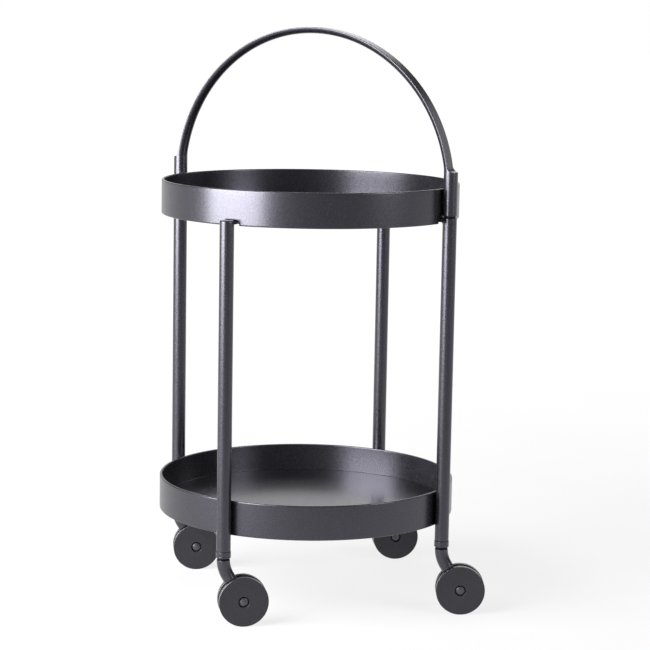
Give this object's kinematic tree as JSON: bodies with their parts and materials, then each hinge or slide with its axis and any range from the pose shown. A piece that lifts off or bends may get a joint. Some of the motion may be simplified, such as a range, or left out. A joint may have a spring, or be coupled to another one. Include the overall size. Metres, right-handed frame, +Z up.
{
  "type": "round serving trolley",
  "caption": "Round serving trolley with stacked trays, an arched handle on the lift-off upper tray, tube posts and twin-disc swivel casters.",
  "frame": {"origin": "on the floor, at the middle of the floor area under the whole trolley with its casters trailing as at rest", "axes": "+Z up, +X from the left handle post towards the right handle post, +Y from the front post towards the back post"},
  "size_m": [0.524, 0.5116, 0.827],
  "materials": {
    "powder_coat": "satin, fine-grained powder coat, anthracite",
    "wheel_plastic": "matt, fine moulded grain, anthracite",
    "button_plastic": "satin gloss, dark grey",
    "black_plastic": "matt black",
    "plain_steel": "plain turned steel, hidden"
  },
  "bodies": {
    "frame": {"lower_tray_wall": "powder_coat", "lower_tray_floor": "powder_coat", "post_right": "powder_coat", "post_back": "powder_coat", "post_left": "powder_coat", "post_front": "powder_coat", "support_bar_side": "powder_coat", "support_bar_cross": "powder_coat", "caster_socket_right": "powder_coat", "swivel_washer_right": "black_plastic", "caster_socket_back": "powder_coat", "swivel_washer_back": "black_plastic", "caster_socket_left": "powder_coat", "swivel_washer_left": "black_plastic", "caster_socket_front": "powder_coat", "swivel_washer_front": "black_plastic"},
    "upper_tray": {"upper_tray_wall": "powder_coat", "upper_tray_floor": "powder_coat", "handle_bow": "powder_coat", "handle_hub_right": "powder_coat", "handle_spigot_right": "black_plastic", "handle_hub_left": "powder_coat", "handle_spigot_left": "black_plastic"},
    "caster_right": {"swivel_pin_right": "plain_steel", "caster_stem_right": "powder_coat", "wheel_axle_right": "plain_steel", "axle_button_right_a": "button_plastic", "axle_button_right_b": "button_plastic"},
    "wheel_right_a": {"wheel_disc_right_a": "wheel_plastic"},
    "wheel_right_b": {"wheel_disc_right_b": "wheel_plastic"},
    "caster_back": {"swivel_pin_back": "plain_steel", "caster_stem_back": "powder_coat", "wheel_axle_back": "plain_steel", "axle_button_back_a": "button_plastic", "axle_button_back_b": "button_plastic"},
    "wheel_back_a": {"wheel_disc_back_a": "wheel_plastic"},
    "wheel_back_b": {"wheel_disc_back_b": "wheel_plastic"},
    "caster_left": {"swivel_pin_left": "plain_steel", "caster_stem_left": "powder_coat", "wheel_axle_left": "plain_steel", "axle_button_left_a": "button_plastic", "axle_button_left_b": "button_plastic"},
    "wheel_left_a": {"wheel_disc_left_a": "wheel_plastic"},
    "wheel_left_b": {"wheel_disc_left_b": "wheel_plastic"},
    "caster_front": {"swivel_pin_front": "plain_steel", "caster_stem_front": "powder_coat", "wheel_axle_front": "plain_steel", "axle_button_front_a": "button_plastic", "axle_button_front_b": "button_plastic"},
    "wheel_front_a": {"wheel_disc_front_a": "wheel_plastic"},
    "wheel_front_b": {"wheel_disc_front_b": "wheel_plastic"}
  },
  "joints": [
    {"name": "upper_tray_lift", "type": "slide", "parent": "frame", "child": "upper_tray", "axis": [0, 0, 1], "range_m": [0, 0.1]},
    {"name": "caster_swivel_right", "type": "hinge", "parent": "frame", "child": "caster_right", "pos_m": [0.20139, -0.01654, 0.09], "axis": [0, 0, 1], "continuous": true},
    {"name": "wheel_spin_right_a", "type": "hinge", "parent": "caster_right", "child": "wheel_right_a", "pos_m": [0.22564, -0.00254, 0.035], "axis": [-0.5, 0.866, 0], "continuous": true},
    {"name": "wheel_spin_right_b", "type": "hinge", "parent": "caster_right", "child": "wheel_right_b", "pos_m": [0.22564, -0.00254, 0.035], "axis": [-0.5, 0.866, 0], "continuous": true},
    {"name": "caster_swivel_back", "type": "hinge", "parent": "frame", "child": "caster_back", "pos_m": [-0.02391, 0.20876, 0.09], "axis": [0, 0, 1], "continuous": true},
    {"name": "wheel_spin_back_a", "type": "hinge", "parent": "caster_back", "child": "wheel_back_a", "pos_m": [-0.00126, 0.22522, 0.035], "axis": [-0.5878, 0.809, 0], "continuous": true},
    {"name": "wheel_spin_back_b", "type": "hinge", "parent": "caster_back", "child": "wheel_back_b", "pos_m": [-0.00126, 0.22522, 0.035], "axis": [-0.5878, 0.809, 0], "continuous": true},
    {"name": "caster_swivel_left", "type": "hinge", "parent": "frame", "child": "caster_left", "pos_m": [-0.24921, -0.01654, 0.09], "axis": [0, 0, 1], "continuous": true},
    {"name": "wheel_spin_left_a", "type": "hinge", "parent": "caster_left", "child": "wheel_left_a", "pos_m": [-0.22656, -0.00008, 0.035], "axis": [-0.5878, 0.809, 0], "continuous": true},
    {"name": "wheel_spin_left_b", "type": "hinge", "parent": "caster_left", "child": "wheel_left_b", "pos_m": [-0.22656, -0.00008, 0.035], "axis": [-0.5878, 0.809, 0], "continuous": true},
    {"name": "caster_swivel_front", "type": "hinge", "parent": "frame", "child": "caster_front", "pos_m": [-0.02391, -0.24184, 0.09], "axis": [0, 0, 1], "continuous": true},
    {"name": "wheel_spin_front_a", "type": "hinge", "parent": "caster_front", "child": "wheel_front_a", "pos_m": [-0.00215, -0.22422, 0.035], "axis": [-0.6293, 0.7771, 0], "continuous": true},
    {"name": "wheel_spin_front_b", "type": "hinge", "parent": "caster_front", "child": "wheel_front_b", "pos_m": [-0.00215, -0.22422, 0.035], "axis": [-0.6293, 0.7771, 0], "continuous": true}
  ]
}
